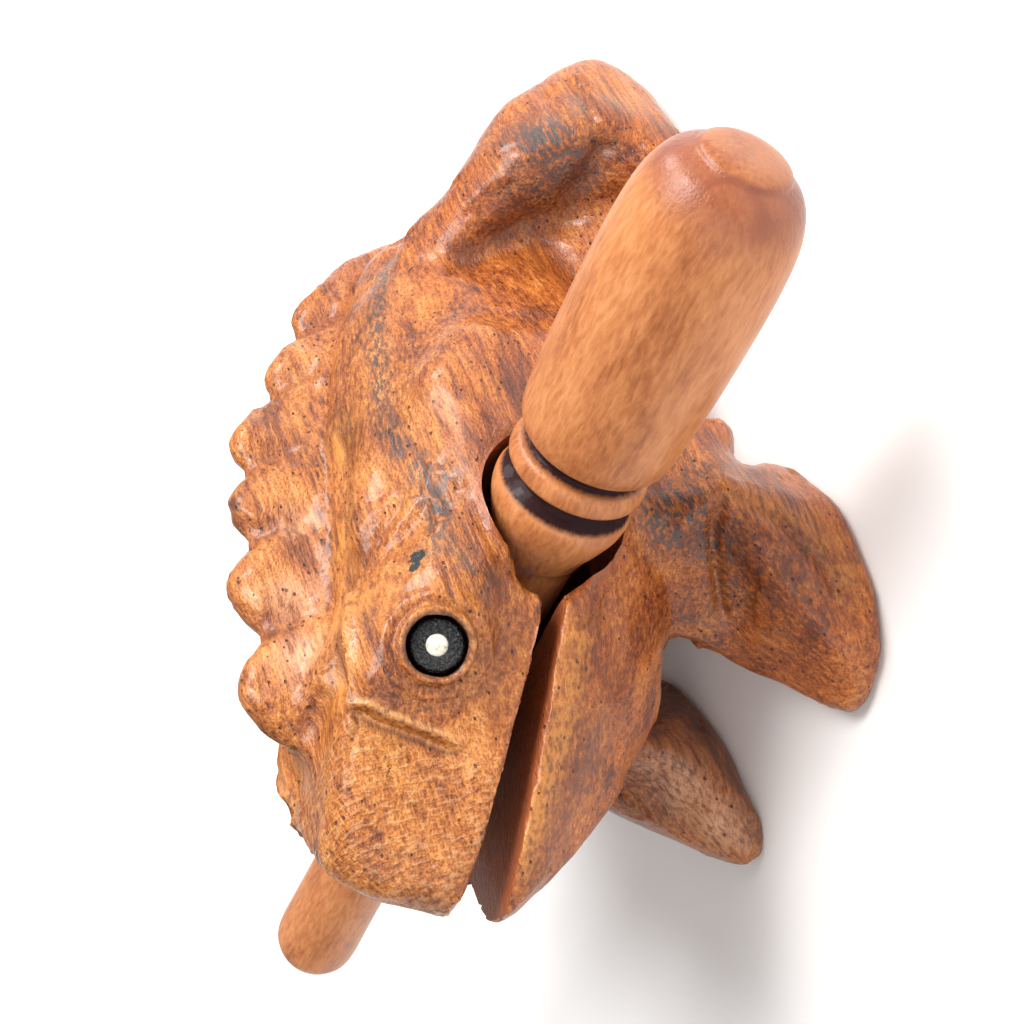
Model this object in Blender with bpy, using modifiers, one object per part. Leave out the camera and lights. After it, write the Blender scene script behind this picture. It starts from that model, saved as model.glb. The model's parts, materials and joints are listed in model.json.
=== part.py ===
"""A croaking frog: a hollow frog carved from one block of wood, with a toothed crest down its back,
and the turned wooden striker that is kept in the bore behind its mouth.

Sizes are in millimetres, in the carver's frame: x to the frog's left, y backwards and z up, with
x = 0 midway between the eyes, y = 0 on the bore's axis and z = 0 on the table. The object's own
origin is under the middle of the whole, and CARVING_SHIFT leads from there to the carver's origin.
The frog faces -Y.
"""

import math

import bmesh
import bpy
from mathutils import Matrix, Vector

MM = 0.001
CARVING_SHIFT = (-0.7, -15.8)

# Bore, mouth and sound chamber.
BORE_HEIGHT = 31.5
BORE_RADIUS = 7.8
BORE_LENGTH = 70.0
MOUTH_WIDTH = 60.0
MOUTH_WEDGE = ((-40.0, 49.4), (-40.0, 44.4), (-3.0, 30.2), (-3.0, 32.0))  # (y, z), the roof at both ends
CORNER_APEX = (-9.4, 34.2)
CHAMBER_CENTRE = (0.0, 8.0, 27.5)
CHAMBER_RADII = (14.5, 17.0, 13.0)

# Eyes: a black disc sunk in each side of the head, with a white dot let into it.
EYE_CENTRE = (15.0, -12.8, 46.7)
EYE_FACING = (0.70, -0.57, 0.43)
EYE_RADIUS = 2.6
EYE_THICKNESS = 1.6
EYE_RECESS = 0.7  # how deep the black disc lies under the flat that is carved for it
EYE_FLAT_RADIUS = 4.8
EYE_FLAT_EDGE = 1.2
DOT_RADIUS = 1.05
DOT_THICKNESS = 0.6
DOT_PIT_DEPTH = 0.6
EYE_RIM_WIDTH = 0.35
EYE_RIM_SEGMENTS = 2
EYE_FLAT_BALLS = 8
FIT_GAP = 0.3

# How finely the shapes are made.
VOXEL = 1.0
EDGE_WEAR = 0.5
EDGE_WEAR_ROUNDS = 4
TRIANGLE_SHARE = 0.13
BALL_SUBDIVISIONS = 2
BORE_SEGMENTS = 32
CHAMBER_SEGMENTS = (24, 14)
SOCKET_SEGMENTS = 48
EYE_SEGMENTS = 32
DOT_SEGMENTS = 24
MERGE_DISTANCE = 0.01

# How far the cutters reach past what they cut.
SOCKET_REACH = 4.0
DOT_PIT_REACH = 3.0
GROUND_SIZE = (160.0, 160.0, 20.0)

# The wood is hulled round balls (x, y, z, radius). They are on the left half, and are mirrored.
SNOUT = (
    (1.0, -25.0, 55.0, 1.6), (0.8, -28.0, 51.0, 1.6), (0.6, -30.2, 46.6, 1.6), (1.6, -31.6, 41.6, 1.8),
    (8.4, -15.2, 53.0, 1.6), (10.6, -16.4, 39.0, 1.4), (4.2, -22.4, 41.0, 1.4), (6.4, -24.2, 38.0, 1.4),
    (11.6, -16.6, 35.4, 1.6), (16.6, -9.4, 37.0, 1.6), (16.8, -9.0, 33.0, 1.6), (0.0, -8.0, 52.0, 2.0),
)
JAW = (
    (1.8, -31.6, 41.2, 1.8), (6.6, -24.4, 37.8, 1.4), (11.8, -16.8, 35.2, 1.6), (17.2, -8.4, 34.0, 1.6),
    (1.4, -26.0, 33.4, 1.8), (1.4, -20.4, 26.2, 1.8), (2.4, -11.4, 18.2, 2.4), (12.0, -6.0, 22.0, 4.0),
    (17.6, 0.0, 26.0, 4.0),
)
EYE_BLOCK = (
    (10.8, -13.8, 52.2, 1.6), (10.6, -5.0, 51.0, 1.8), (15.0, -9.6, 41.0, 2.4), (17.6, -4.0, 38.6, 2.4),
    (17.4, -1.0, 41.0, 2.4), (6.0, -8.0, 48.0, 3.0), (12.0, -2.0, 34.0, 4.0),
)
NAPE_BUMP = ((10.4, 5.4, 47.0, 2.2), (16.0, 5.0, 40.4, 2.6), (12.0, 13.0, 43.4, 2.2))
FLANK = ((17.4, 12.0, 34.0, 5.0), (19.6, 20.0, 31.6, 5.4), (18.6, 18.0, 22.0, 6.6))
HIP = ((10.0, 42.0, 29.0, 5.0), (15.0, 47.0, 25.0, 5.0), (24.0, 47.0, 18.6, 5.6))
THIGH = (
    (17.0, 45.4, 24.6, 4.6), (26.4, 47.0, 19.6, 5.2), (27.4, 53.0, 16.2, 5.2), (30.0, 56.4, 8.0, 6.0),
    (30.4, 47.0, 12.0, 6.0),
)
SHIN = ((30.6, 53.6, 6.0, 5.6), (29.0, 51.0, 7.4, 6.2), (31.4, 43.0, 6.0, 5.4))
LEG_WEB = (
    (14.0, 38.0, 20.0, 5.0), (22.0, 44.0, 12.0, 5.0), (27.0, 42.0, 6.0, 4.0), (17.0, 28.0, 9.0, 5.0),
    (27.0, 50.0, 6.0, 5.0),
)
HIND_FOOT = ((31.4, 42.0, 3.4, 3.4), (33.0, 28.0, 1.6, 2.0), (25.0, 25.0, 1.6, 2.0))
UPPER_ARM = ((17.0, 7.0, 26.0, 5.0), (20.0, 5.0, 16.0, 4.0), (14.0, 0.0, 18.0, 5.0), (21.4, 8.4, 9.0, 2.8))
FOREARM = (
    (20.6, 4.0, 12.0, 3.8), (24.0, -1.6, 14.0, 1.8), (9.6, -8.4, 11.0, 2.2), (12.0, -2.0, 20.0, 4.0),
    (18.0, 0.0, 20.0, 3.0),
)
LEFT_FRONT_FOOT = (
    (23.6, -1.6, 13.6, 1.8), (8.6, -9.4, 8.0, 2.0), (20.6, 3.8, 3.0, 2.0), (23.2, -5.0, 1.6, 1.8),
    (21.6, -12.0, 1.6, 1.8), (18.4, -18.0, 1.6, 1.8), (13.0, -20.0, 1.6, 1.8), (11.0, -14.0, 3.4, 1.8),
    (18.0, -17.0, 5.0, 1.8),
)
# The right front foot is carved a little wider on its inner side.
RIGHT_FRONT_FOOT = (
    (-23.2, -1.6, 13.0, 1.8), (-9.6, -9.4, 8.0, 2.0), (-13.8, 2.0, 1.6, 1.8), (-24.0, 1.0, 2.0, 2.0),
    (-25.6, -6.8, 1.6, 1.8), (-20.4, -13.1, 1.6, 1.8), (-15.7, -18.2, 1.6, 1.8), (-12.4, -21.2, 1.6, 1.8),
    (-10.4, -18.0, 1.6, 1.8), (-10.2, -11.5, 1.6, 1.8), (-11.4, -4.8, 1.6, 1.8), (-16.0, -15.5, 5.0, 1.8),
)
SIDE_LUMPS = (NAPE_BUMP, FLANK, HIP, THIGH, SHIN, LEG_WEB, HIND_FOOT, UPPER_ARM, FOREARM)
TRUNK = (
    ((5.0, -9.0, 53.4, 1.6), (14.0, -8.0, 40.0, 2.0), (14.0, -8.0, 30.0, 3.0), (2.0, -8.0, 20.0, 3.0)),
    ((5.0, 0.0, 48.4, 1.8), (12.0, 0.6, 46.0, 2.0), (19.0, 0.0, 38.0, 2.4), (18.6, 0.0, 26.0, 3.4),
     (14.0, 0.0, 15.0, 4.0), (2.0, 0.0, 13.0, 4.0)),
    ((5.0, 10.0, 45.6, 1.8), (13.0, 10.0, 43.4, 2.0), (19.6, 10.0, 36.0, 3.4), (20.4, 10.0, 24.0, 4.6),
     (14.0, 10.0, 11.0, 5.0), (2.0, 10.0, 10.0, 5.0)),
    ((5.0, 18.0, 43.2, 1.8), (12.6, 18.0, 41.4, 2.0), (19.4, 17.0, 34.0, 4.6), (20.0, 18.0, 24.0, 6.0),
     (14.0, 18.0, 11.0, 5.6), (2.0, 18.0, 10.0, 5.0)),
    ((4.0, 28.0, 41.0, 2.0), (12.0, 28.0, 38.2, 2.0), (15.6, 28.0, 29.0, 6.0), (16.6, 28.0, 20.0, 7.0),
     (14.0, 28.0, 11.0, 6.0), (2.0, 28.0, 10.0, 5.0)),
    ((3.0, 38.0, 37.4, 2.0), (11.4, 38.0, 34.4, 2.4), (13.4, 38.0, 26.0, 6.4), (14.4, 38.0, 17.0, 7.0),
     (12.0, 38.0, 11.4, 6.4)),
    ((2.0, 50.0, 31.0, 2.4), (8.0, 50.0, 28.4, 3.4), (9.6, 50.0, 20.0, 7.0), (8.6, 50.0, 13.0, 7.0)),
    ((0.6, 60.0, 21.6, 3.4), (4.0, 59.0, 15.6, 6.0), (4.0, 58.0, 12.0, 6.0)),
)

# Crest, from the brow to the rump: (y, z) of its valleys and of the tip between each two.
CREST_VALLEYS = (
    (-12.6, 57.0), (1.2, 56.2), (13.6, 54.0), (24.0, 51.6), (36.6, 45.4), (47.4, 39.4), (57.0, 33.0),
    (64.0, 24.0),
)
CREST_TIPS = ((-5.6, 60.2), (7.4, 58.4), (18.4, 55.8), (28.6, 52.8), (40.4, 45.2), (50.8, 39.2), (59.6, 31.0))
CREST_DEPTH = 10.0
CREST_FOOT_HALF_WIDTH = 4.2
CREST_TOP_HALF_WIDTH = 1.0
CREST_EDGE = 0.8

# Striker's outline from its handle's end to its tip: (distance along the bore from the middle, radius).
STRIKER_OUTLINE = (
    (62.9, 0.0), (62.8, 2.4), (62.3, 4.1), (61.7, 4.9), (60.8, 5.9), (59.0, 7.1), (56.4, 7.9), (52.0, 8.3),
    (46.0, 8.4), (39.0, 8.3), (33.0, 8.0), (30.2, 7.6), (29.2, 7.0), (28.7, 6.0), (28.0, 5.8), (27.6, 6.3),
    (27.0, 6.9), (26.1, 7.1), (25.3, 6.8), (24.9, 5.9), (24.4, 5.7), (23.6, 6.3), (22.8, 7.0), (22.0, 7.1),
    (20.6, 6.9), (18.6, 6.2), (15.5, 5.1), (11.0, 4.7), (-20.0, 4.7), (-48.0, 4.9), (-56.4, 5.0),
    (-58.8, 4.5), (-60.4, 3.3), (-61.3, 1.8), (-61.5, 0.0),
)
STRIKER_STEPS = 40
STRIKER_HEIGHT = 31.7
STRIKER_SAG = math.radians(1.4)  # the loose striker hangs a little at its heavy end

# Each material's colour and roughness.
FINISHES = {
    "stained_wood": ((0.46, 0.17, 0.05), 0.42),
    "pale_wood": ((0.62, 0.30, 0.14), 0.40),
    "black_lacquer": ((0.02, 0.02, 0.02), 0.25),
    "white_paint": ((0.80, 0.77, 0.68), 0.40),
}


def clear_scene():
    for obj in list(bpy.data.objects):
        bpy.data.objects.remove(obj)


def carved(x, y, z):
    """A point of the carver's frame, in metres in the object's frame."""
    return Vector((x + CARVING_SHIFT[0], y + CARVING_SHIFT[1], z)) * MM


def make_material(name):
    colour, roughness = FINISHES[name]
    material = bpy.data.materials.new(name)
    material.use_nodes = True
    shader = material.node_tree.nodes["Principled BSDF"]
    shader.inputs["Base Color"].default_value = (*colour, 1.0)
    shader.inputs["Roughness"].default_value = roughness
    shader.inputs["Metallic"].default_value = 0.0
    return material


def make_object(name, bm, collection, material=None):
    mesh = bpy.data.meshes.new(name)
    bm.to_mesh(mesh)
    bm.free()
    if material is not None:
        mesh.materials.append(material)
    obj = bpy.data.objects.new(name, mesh)
    collection.objects.link(obj)
    return obj


def make_cutter(name, bm, collection):
    cutter = make_object(name, bm, collection)
    cutter.hide_render = True
    cutter.display_type = "WIRE"
    return cutter


def both_sides(balls):
    return [(side * x, y, z, radius) for x, y, z, radius in balls for side in (1, -1)]


def add_hull(bm, balls):
    """Adds the convex hull of the balls to bm."""
    lump = bmesh.new()
    for x, y, z, radius in balls:
        place = Matrix.Translation(carved(x, y, z))
        bmesh.ops.create_icosphere(lump, subdivisions=BALL_SUBDIVISIONS, radius=radius * MM, matrix=place)
    hull = bmesh.ops.convex_hull(lump, input=lump.verts[:])
    inside = [item for item in hull["geom_interior"] if isinstance(item, bmesh.types.BMVert)]
    bmesh.ops.delete(lump, geom=inside, context="VERTS")
    bmesh.ops.recalc_face_normals(lump, faces=lump.faces[:])
    mesh = bpy.data.meshes.new("lump")
    lump.to_mesh(mesh)
    lump.free()
    bm.from_mesh(mesh)
    bpy.data.meshes.remove(mesh)


def add_trunk(bm):
    add_hull(bm, both_sides(SNOUT))
    add_hull(bm, both_sides(JAW))
    for ring, following in zip(TRUNK, TRUNK[1:]):
        add_hull(bm, both_sides(ring + following))


def add_crest(bm):
    for valley, tip, following in zip(CREST_VALLEYS, CREST_TIPS, CREST_VALLEYS[1:]):
        balls = [(CREST_TOP_HALF_WIDTH, y, z - CREST_EDGE, CREST_EDGE) for y, z in (valley, tip, following)]
        balls += [(CREST_FOOT_HALF_WIDTH, y, z - CREST_DEPTH, CREST_EDGE) for y, z in (valley, following)]
        add_hull(bm, both_sides(balls))


def eye_flat_balls():
    """A ring of balls round the left eye, which hull to a flat that looks the way the eye does."""
    facing = Vector(EYE_FACING).normalized()
    middle = Vector(EYE_CENTRE) + facing * (EYE_RECESS - EYE_FLAT_EDGE)
    upward = facing.orthogonal().normalized()
    sideways = facing.cross(upward)
    balls = []
    for k in range(EYE_FLAT_BALLS):
        angle = math.tau * k / EYE_FLAT_BALLS
        spot = middle + (EYE_FLAT_RADIUS - EYE_FLAT_EDGE) * (
            math.cos(angle) * upward + math.sin(angle) * sideways
        )
        balls.append((spot.x, spot.y, spot.z, EYE_FLAT_EDGE))
    return tuple(balls)


def add_side_lumps(bm):
    for lump in SIDE_LUMPS + (EYE_BLOCK + eye_flat_balls(),):
        for side in (1, -1):
            add_hull(bm, [(side * x, y, z, radius) for x, y, z, radius in lump])
    add_hull(bm, LEFT_FRONT_FOOT)
    add_hull(bm, RIGHT_FRONT_FOOT)


def add_cylinder(bm, place, radius, depth, segments):
    bmesh.ops.create_cone(
        bm, cap_ends=True, segments=segments, radius1=radius * MM, radius2=radius * MM,
        depth=depth * MM, matrix=place,
    )


def bore_cutter(collection):
    """The bore through both cheeks, drawn out to a point where each mouth corner runs into it."""
    bm = bmesh.new()
    along_x = Matrix.Rotation(math.radians(90.0), 4, "Y")
    for end in (-0.5 * BORE_LENGTH, 0.5 * BORE_LENGTH):
        place = Matrix.Translation(carved(end, 0, BORE_HEIGHT)) @ along_x
        bmesh.ops.create_circle(bm, segments=BORE_SEGMENTS, radius=BORE_RADIUS * MM, matrix=place)
        bm.verts.new(carved(end, *CORNER_APEX))
    bmesh.ops.delete(bm, geom=bm.edges[:], context="EDGES_FACES")
    hull = bmesh.ops.convex_hull(bm, input=bm.verts[:])
    spare = [item for item in hull["geom_interior"] if isinstance(item, bmesh.types.BMVert)]
    bmesh.ops.delete(bm, geom=spare, context="VERTS")
    bmesh.ops.recalc_face_normals(bm, faces=bm.faces[:])
    return make_cutter("cut_bore", bm, collection)


def mouth_cutter(collection):
    """A wedge through the front of the head, wider at the lips than at the bore."""
    bm = bmesh.new()
    for x in (-0.5 * MOUTH_WIDTH, 0.5 * MOUTH_WIDTH):
        for y, z in MOUTH_WEDGE:
            bm.verts.new(carved(x, y, z))
    bmesh.ops.convex_hull(bm, input=bm.verts[:])
    bmesh.ops.recalc_face_normals(bm, faces=bm.faces[:])
    return make_cutter("cut_mouth", bm, collection)


def chamber_cutter(collection):
    bm = bmesh.new()
    size = Matrix.Diagonal(Vector(CHAMBER_RADII) * MM).to_4x4()
    place = Matrix.Translation(carved(*CHAMBER_CENTRE)) @ size
    around, upward = CHAMBER_SEGMENTS
    bmesh.ops.create_uvsphere(bm, u_segments=around, v_segments=upward, radius=1.0, matrix=place)
    return make_cutter("cut_chamber", bm, collection)


def ground_cutter(collection):
    bm = bmesh.new()
    size = Matrix.Diagonal(Vector(GROUND_SIZE) * MM).to_4x4()
    place = Matrix.Translation((0, 0, -0.5 * GROUND_SIZE[2] * MM)) @ size
    bmesh.ops.create_cube(bm, size=1.0, matrix=place)
    return make_cutter("cut_ground", bm, collection)


def eye_frame(side):
    """Where an eye sits: its centre on the face, with local +Z looking out of the head."""
    x, y, z = EYE_CENTRE
    facing = Vector((side * EYE_FACING[0], EYE_FACING[1], EYE_FACING[2]))
    return Matrix.Translation(carved(side * x, y, z)) @ facing.to_track_quat("Z", "Y").to_matrix().to_4x4()


def eye_socket_cutter(name, side, collection):
    bm = bmesh.new()
    depth = EYE_THICKNESS + FIT_GAP
    place = Matrix.Translation((0, 0, 0.5 * (SOCKET_REACH - depth) * MM))
    add_cylinder(bm, place, EYE_RADIUS + FIT_GAP, depth + SOCKET_REACH, SOCKET_SEGMENTS)
    cutter = make_cutter(name, bm, collection)
    cutter.matrix_world = eye_frame(side)
    return cutter


def make_eye(name, side, collection, material):
    """A short black disc with a rounded rim and a pit for its white dot."""
    bm = bmesh.new()
    place = Matrix.Translation((0, 0, -0.5 * EYE_THICKNESS * MM))
    add_cylinder(bm, place, EYE_RADIUS, EYE_THICKNESS, EYE_SEGMENTS)
    eye = make_object(name, bm, collection, material)
    eye.matrix_world = eye_frame(side)
    bevel = eye.modifiers.new("rim", "BEVEL")
    bevel.width = EYE_RIM_WIDTH * MM
    bevel.segments = EYE_RIM_SEGMENTS
    bevel.limit_method = "ANGLE"
    return eye


def make_dot(name, side, collection, material):
    bm = bmesh.new()
    middle = -DOT_PIT_DEPTH + FIT_GAP + 0.5 * DOT_THICKNESS
    add_cylinder(bm, Matrix.Translation((0, 0, middle * MM)), DOT_RADIUS, DOT_THICKNESS, DOT_SEGMENTS)
    dot = make_object(name, bm, collection, material)
    dot.matrix_world = eye_frame(side)
    return dot


def dot_pit_cutter(name, side, collection):
    bm = bmesh.new()
    place = Matrix.Translation((0, 0, 0.5 * (DOT_PIT_REACH - DOT_PIT_DEPTH) * MM))
    add_cylinder(bm, place, DOT_RADIUS + FIT_GAP, DOT_PIT_DEPTH + DOT_PIT_REACH, DOT_SEGMENTS)
    cutter = make_cutter(name, bm, collection)
    cutter.matrix_world = eye_frame(side)
    return cutter


def add_cut(obj, cutter):
    cut = obj.modifiers.new(cutter.name, "BOOLEAN")
    cut.operation = "DIFFERENCE"
    cut.solver = "EXACT"
    cut.object = cutter


def make_body(collection, material):
    bm = bmesh.new()
    add_trunk(bm)
    add_crest(bm)
    add_side_lumps(bm)
    body = make_object("frog_body", bm, collection, material)
    union = body.modifiers.new("one_block", "REMESH")
    union.mode = "VOXEL"
    union.voxel_size = VOXEL * MM
    smooth = body.modifiers.new("worn_edges", "SMOOTH")
    smooth.factor = EDGE_WEAR
    smooth.iterations = EDGE_WEAR_ROUNDS
    thin = body.modifiers.new("fewer_faces", "DECIMATE")
    thin.ratio = TRIANGLE_SHARE
    return body


def make_striker(collection, material):
    """The turned striker, its own +Z along the bore towards the handle."""
    mesh = bpy.data.meshes.new("striker_stick")
    points = [(radius * MM, 0.0, distance * MM) for distance, radius in STRIKER_OUTLINE]
    edges = [(i, i + 1) for i in range(len(points) - 1)]
    mesh.from_pydata(points, edges, [])
    mesh.materials.append(material)
    striker = bpy.data.objects.new("striker_stick", mesh)
    collection.objects.link(striker)
    turning = striker.modifiers.new("turned", "SCREW")
    turning.axis = "Z"
    turning.steps = STRIKER_STEPS
    turning.render_steps = STRIKER_STEPS
    turning.use_merge_vertices = True
    turning.merge_threshold = MERGE_DISTANCE * MM
    striker.location = carved(0, 0, STRIKER_HEIGHT)
    striker.rotation_euler = (0.0, math.radians(90.0) + STRIKER_SAG, 0.0)
    return striker


def main():
    clear_scene()
    parts = bpy.data.collections.new("croaking_frog")
    cutters = bpy.data.collections.new("cutters")
    for collection in (parts, cutters):
        bpy.context.scene.collection.children.link(collection)
    materials = {name: make_material(name) for name in FINISHES}
    body = make_body(parts, materials["stained_wood"])
    make_striker(parts, materials["pale_wood"])
    body_cutters = [
        ground_cutter(cutters), chamber_cutter(cutters), bore_cutter(cutters), mouth_cutter(cutters),
    ]
    for word, side in (("left", 1), ("right", -1)):
        body_cutters.append(eye_socket_cutter("cut_socket_" + word, side, cutters))
        eye = make_eye("eye_" + word, side, parts, materials["black_lacquer"])
        add_cut(eye, dot_pit_cutter("cut_dot_" + word, side, cutters))
        make_dot("eye_dot_" + word, side, parts, materials["white_paint"])
    for cutter in body_cutters:
        add_cut(body, cutter)


main()
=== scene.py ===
import json
import math

import bmesh
import bpy
import numpy as np
from mathutils import Matrix, Vector


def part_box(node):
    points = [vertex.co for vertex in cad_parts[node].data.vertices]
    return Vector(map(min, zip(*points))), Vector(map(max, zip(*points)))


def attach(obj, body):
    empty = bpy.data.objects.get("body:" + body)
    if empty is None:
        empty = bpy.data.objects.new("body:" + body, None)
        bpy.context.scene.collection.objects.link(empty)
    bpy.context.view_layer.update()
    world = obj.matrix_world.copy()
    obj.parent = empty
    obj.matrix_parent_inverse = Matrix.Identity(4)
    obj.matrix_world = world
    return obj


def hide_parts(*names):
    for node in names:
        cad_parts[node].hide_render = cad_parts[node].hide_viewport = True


# The looks of a carved and stained wooden frog, its inlaid eyes and its turned striker. Sizes are in
# millimetres, in the carver's frame: x to the frog's left, y backwards and z up, with x = 0 midway
# between the eyes, y = 0 on the bore's axis and z = 0 on the table. The frog faces -Y. A pair that is
# given to step() is where a soft change starts and where it is full.

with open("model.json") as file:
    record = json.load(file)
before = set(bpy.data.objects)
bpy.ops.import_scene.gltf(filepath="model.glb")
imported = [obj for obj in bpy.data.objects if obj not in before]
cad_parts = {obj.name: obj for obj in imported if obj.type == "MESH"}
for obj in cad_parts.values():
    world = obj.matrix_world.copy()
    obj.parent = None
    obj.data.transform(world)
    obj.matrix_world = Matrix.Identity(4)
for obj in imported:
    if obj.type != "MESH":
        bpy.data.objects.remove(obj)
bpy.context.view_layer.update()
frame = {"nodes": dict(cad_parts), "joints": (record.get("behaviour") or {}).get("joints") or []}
MM = 0.001


def middle(node):
    low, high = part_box(node)
    return 0.5 * (Vector(low) + Vector(high))


CARVER_ORIGIN = Vector((
    0.5 * (middle("eye_left").x + middle("eye_right").x), middle("striker_stick").y, 0.0,
))

# Bore, mouth and striker.
BORE_HEIGHT = 31.5
BORE_RADIUS = 7.8
MOUTH_FLOOR = (-3.0, 30.2, -0.384)  # y and z at the throat, and the slope from there to the lip
MOUTH_ROOF = (-3.0, 32.0, -0.470)
CHAMBER_CENTRE = (0.0, 8.0, 27.5)
CHAMBER_RADII = (14.5, 17.0, 13.0)
MOUTH_FACING = (0.38, 0.92)  # y and z of the direction that its floor and roof face
MOUTH_SQUARE = (0.6, 0.9)  # how squarely a surface faces that way, to begin to count and to count fully
MOUTH_WALL = 0.5
MOUTH_END = (-4.0, -2.0)
BORE_FADE = (BORE_RADIUS + 0.1, BORE_RADIUS + 0.7)
CHAMBER_SKIN = 0.4
STRIKER_HEIGHT = 31.7
STRIKER_OUTLINE = (
    (62.9, 0.0), (62.85, 2.2), (62.55, 3.6), (62.1, 4.3), (61.6, 4.6), (61.2, 5.2), (60.4, 6.2),
    (59.0, 7.1), (56.4, 7.9), (52.0, 8.3), (46.0, 8.4), (39.0, 8.3), (33.0, 8.0), (30.6, 7.7),
    (29.4, 7.1), (28.8, 6.2), (28.3, 5.8), (27.8, 6.0), (27.4, 6.7), (26.8, 7.0), (26.0, 7.1),
    (25.3, 6.9), (24.9, 6.1), (24.4, 5.7), (23.8, 6.0), (23.0, 6.8), (22.2, 7.1), (20.6, 6.9),
    (18.6, 6.2), (15.5, 5.1), (11.0, 4.7), (-20.0, 4.7), (-48.0, 4.9), (-56.4, 5.0), (-58.8, 4.5),
    (-60.4, 3.3), (-61.3, 1.8), (-61.5, 0.0),
)
STRIKER_STEPS = 144
OUTLINE_STEPS = 4
BURNT_GROOVES = ((28.4, 0.95), (24.1, 1.5))  # place along the striker, width
END_STAIN = (56.0, 60.5)  # along the striker, as the next
END_FACE = (61.9, 62.4)
END_FACE_FADE = 0.55
LATHE_WELD = 0.005

# Eyes.
EYE_FACING = (0.70, -0.57, 0.43)
EYE_THICKNESS = 1.6
EYE_OUTLINE = (
    (0.0, 0.0), (1.4, -0.02), (2.2, -0.04), (2.42, -0.12), (2.56, -0.34), (2.6, -0.8), (2.6, -1.6),
    (0.0, -1.6),
)
DOT_OUTLINE = ((0.0, 0.26), (0.5, 0.23), (0.85, 0.13), (1.05, -0.04), (1.05, -0.25), (0.0, -0.25))
EYE_RINGS = ((3.3, 0.32, 0.36), (4.1, 0.34, -0.38), (4.75, 0.4, 0.16))  # radius, width, rise
RING_START = 3.0
RING_REACH = 6.0
RING_LEVEL = 3.0  # how far before or behind an eye's middle its rings are cut
SOCKET_EDGE = (2.95, 3.3)
EYE_CURVE_STEPS = 3
EYE_STEPS = 72
DOT_STEPS = 48

# How fine the carving's mesh is: the longest edge, and where it is finer (centre, radius, edge).
COARSE_EDGE = 1.35
HIDDEN_EDGE = 2.6
HIDDEN_DEPTH = 0.3
FINE_PLACES = (
    ((11.0, -16.0, 47.0), 10.0, 0.6), ((9.0, -22.0, 38.0), 8.0, 0.7), ((18.0, 0.0, 42.0), 7.0, 0.7),
    ((22.0, -6.0, 10.0), 9.0, 0.6), ((31.0, 44.0, 14.0), 7.0, 0.8), ((10.0, -4.0, 51.0), 8.0, 0.6),
    ((14.0, -13.0, 34.0), 6.0, 0.6), ((4.0, -29.0, 41.0), 7.0, 0.6), ((8.6, -17.6, 50.0), 4.5, 0.35),
    ((15.0, -11.0, 46.0), 5.6, 0.45),
)
SPLIT_ROUNDS = 6
CREASE_ANGLE = math.radians(48.0)
BODY_ROUNDS = 14
FLANK_ROUNDS = 60
CAD_WELD = 0.001
PULL_IN = 0.5
PUSH_OUT = -0.51
FLOOR_TOUCH = 0.01  # CAD points lower than this stand on the floor
LOWEST_CARVED = 0.02  # and the others stay at least this high

# Carving. A route is a broken line on the left side, and is mirrored to the right. Some of the places
# here and among the colours were measured on the CAD's surface, under details seen in the photo.
STEP_LINE = ((54.6, -14.6), (51.9, -16.7), (48.9, -18.2), (45.9, -19.9), (44.0, -21.0))  # (z, y)
CREST_FOOT = (  # (y, z) where the crest's side meets the back
    (-14.0, 55.0), (-10.6, 54.2), (-3.5, 52.1), (6.9, 48.4), (18.8, 45.7), (28.7, 43.6), (39.4, 39.8),
    (49.7, 33.4), (60.0, 24.0),
)
GROOVES = (  # route, width, depth
    (((5.0, 39.0, 39.2), (5.0, 28.7, 43.0), (5.0, 18.8, 45.4), (5.2, 6.9, 48.2), (5.2, -3.5, 51.8),
      (5.0, -10.6, 54.0)), 0.7, 0.45),
    (((8.6, 24.0, 42.6), (8.0, 8.0, 46.9), (8.0, -2.0, 50.4), (7.6, -9.0, 53.2)), 2.2, 0.5),
    (((13.8, 4.6, 47.0), (12.4, 3.0, 48.0), (10.4, 0.6, 49.4)), 0.7, 1.2),
    (((15.6, 5.2, 44.6), (14.6, 3.2, 46.4), (13.3, 2.0, 47.2)), 0.8, 0.6),
    (((24.8, -3.0, 15.0), (20.8, -4.7, 15.1), (16.6, -7.0, 13.4), (13.3, -8.9, 12.1)), 0.6, 0.8),
    (((24.9, -3.0, 13.6), (24.4, -6.1, 9.4), (23.2, -10.4, 6.0), (20.5, -16.8, 3.5)), 0.7, 0.6),
    (((19.4, 39.6, 26.4), (22.8, 41.1, 21.1), (25.5, 40.9, 16.3), (32.0, 41.9, 14.1)), 1.8, 1.3),
    (((34.8, 53.7, 13.1), (35.3, 45.9, 14.4), (33.7, 42.7, 13.2)), 0.9, 0.7),
    (((33.6, 56.6, 16.4), (34.4, 48.4, 18.0)), 1.2, 0.35),
    (((19.9, -1.7, 40.1), (19.5, -6.3, 39.4), (18.2, -9.1, 40.0)), 0.5, 0.3),
    (((17.6, 8.0, 41.8), (18.6, 2.0, 41.8), (17.6, -3.6, 43.4)), 0.5, 0.25),
)
RIDGES = (
    (((10.4, 0.4, 49.8), (11.5, -8.8, 53.0), (9.2, -14.4, 54.2)), 0.6, 0.8),
    (((25.2, -2.6, 13.6), (23.1, -2.7, 16.8), (17.3, -4.8, 19.7)), 1.2, 0.6),
    (((34.2, 43.4, 10.6), (35.6, 50.0, 9.0), (33.6, 56.0, 9.0)), 3.0, 0.4),
    (((20.0, 41.0, 27.0), (25.0, 43.6, 23.6), (30.0, 45.0, 20.4)), 2.6, 0.5),
)
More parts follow.
